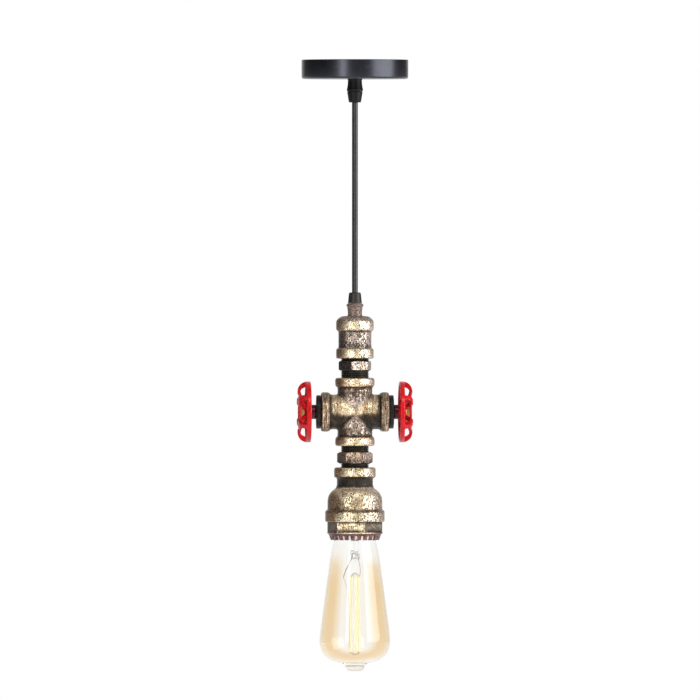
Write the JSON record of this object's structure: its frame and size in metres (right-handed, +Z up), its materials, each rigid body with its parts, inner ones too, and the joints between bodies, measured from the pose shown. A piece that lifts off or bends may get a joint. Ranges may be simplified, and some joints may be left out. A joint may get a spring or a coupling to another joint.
{
  "type": "pipe pendant light",
  "caption": "Pendant lamp made of iron pipe fittings with red valve hand wheels, a black canopy and cord, and a clear amber squirrel-cage bulb.",
  "frame": {"origin": "middle of the mounting strap's upper face, on the ceiling plane", "axes": "+Z up, the lamp hangs along -Z, +X along the strap and along the cross's side arms, front towards -Y"},
  "size_m": [0.1078, 0.1, 0.5727],
  "materials": {
    "zinc_steel": "bright zinc plate, fine brushed",
    "black_enamel": "satin black enamel",
    "black_steel": "black oxide",
    "terminal_plastic": "ivory moulded plastic",
    "brass_parts": "drawn brass, slightly dull",
    "black_plastic": "black moulded plastic",
    "grey_rubber": "grey rubber",
    "black_rubber": "black rubber",
    "cord_sheath": "smooth black cord sheath",
    "core_brown": "brown wire cover",
    "core_blue": "blue wire cover",
    "core_green": "green wire cover",
    "bronze_paint": "brown bronze paint",
    "dark_bronze_paint": "dark bronze paint",
    "antique_gold_iron": "black iron brushed with antique gold",
    "bronze_iron": "dark bronze over iron",
    "dark_iron": "black iron with traces of gold",
    "black_iron": "black iron",
    "holder_ceramic": "white unglazed porcelain",
    "red_enamel": "gloss red enamel",
    "solder": "dull solder",
    "nickel_brass": "thin bright cap metal",
    "cap_glass": "black vitreous insulator",
    "amber_glass": "clear glass tinted pale amber",
    "clear_glass": "clear glass",
    "wire_metal": "drawn wire",
    "filament": "glowing filament"
  },
  "bodies": {
    "canopy": {"mounting_strap": "zinc_steel", "ceiling_canopy": "black_enamel", "canopy_set_screws": "black_steel", "terminal_block": "terminal_plastic", "terminal_screws": "brass_parts", "strap_screws": "zinc_steel", "canopy_gland_body": "black_plastic", "canopy_gland_nut": "zinc_steel", "canopy_gland_collet": "grey_rubber", "canopy_gland_cap": "black_plastic", "canopy_cord_tail": "cord_sheath", "canopy_live_core": "core_brown", "canopy_neutral_core": "core_blue", "canopy_earth_core": "core_green"},
    "cord_bush": {"canopy_cord_bush": "black_rubber"},
    "cord": {"hanging_cord": "cord_sheath"},
    "lamp_gland": {"lamp_gland_body": "bronze_paint", "lamp_gland_collet": "grey_rubber", "lamp_gland_cap": "dark_bronze_paint", "lamp_cord_tail": "cord_sheath"},
    "lamp": {"top_coupling": "antique_gold_iron", "upper_nipple": "dark_iron", "pipe_cross": "antique_gold_iron", "left_plug": "black_iron", "right_plug": "black_iron", "lower_nipple": "dark_iron", "bell_reducer": "antique_gold_iron", "hex_bush": "antique_gold_iron", "retaining_ring": "bronze_iron", "lampholder_body": "holder_ceramic", "screw_shell": "brass_parts", "centre_contact": "brass_parts", "shell_contact": "brass_parts", "lampholder_screws": "brass_parts", "bell_earth_screw": "brass_parts", "lamp_live_core": "core_brown", "lamp_neutral_core": "core_blue", "lamp_earth_core": "core_green"},
    "left_wheel": {"left_spindle": "zinc_steel", "left_handwheel": "red_enamel", "left_wheel_washer": "brass_parts", "left_wheel_nut": "brass_parts", "left_spindle_clip": "zinc_steel"},
    "right_wheel": {"right_spindle": "zinc_steel", "right_handwheel": "red_enamel", "right_wheel_washer": "brass_parts", "right_wheel_nut": "brass_parts", "right_spindle_clip": "zinc_steel"},
    "bulb_tip": {"bulb_tip_contact": "solder"},
    "bulb": {"bulb_cap": "nickel_brass", "bulb_cap_insulator": "cap_glass", "bulb_glass": "amber_glass", "bulb_stem": "clear_glass", "bulb_leads": "wire_metal", "bulb_supports": "wire_metal", "bulb_filament": "filament"}
  },
  "joints": [
    {"name": "swing_side", "type": "hinge", "parent": "canopy", "child": "cord_bush", "pos_m": [0, 0, -0.038], "axis": [0, 1, 0], "range_deg": [-15, 15]},
    {"name": "swing_front", "type": "hinge", "parent": "cord_bush", "child": "cord", "pos_m": [0, 0, -0.038], "axis": [1, 0, 0], "range_deg": [-15, 15]},
    {"name": "drop", "type": "slide", "parent": "cord", "child": "lamp_gland", "axis": [0, 0, -1], "range_m": [0, 0.822], "deforming": ["hanging_cord"]},
    {"name": "lamp_turn", "type": "hinge", "parent": "lamp_gland", "child": "lamp", "pos_m": [0, 0, -0.24], "axis": [0, 0, 1], "range_deg": [-180, 180]},
    {"name": "left_wheel_turn", "type": "hinge", "parent": "lamp", "child": "left_wheel", "pos_m": [-0.0475, 0, -0.33], "axis": [-1, 0, 0], "continuous": true},
    {"name": "right_wheel_turn", "type": "hinge", "parent": "lamp", "child": "right_wheel", "pos_m": [0.0475, 0, -0.33], "axis": [1, 0, 0], "continuous": true},
    {"name": "bulb_travel", "type": "slide", "parent": "lamp", "child": "bulb_tip", "axis": [0, 0, -1], "range_m": [0, 0.027]},
    {"name": "bulb_turn", "type": "hinge", "parent": "bulb_tip", "child": "bulb", "pos_m": [0, 0, -0.4142], "axis": [0, 0, -1], "range_deg": [0, 2664]}
  ],
  "couplings": [
    {"joint": "bulb_travel", "follows": "bulb_turn", "m_per_rad": 0.000573}
  ]
}
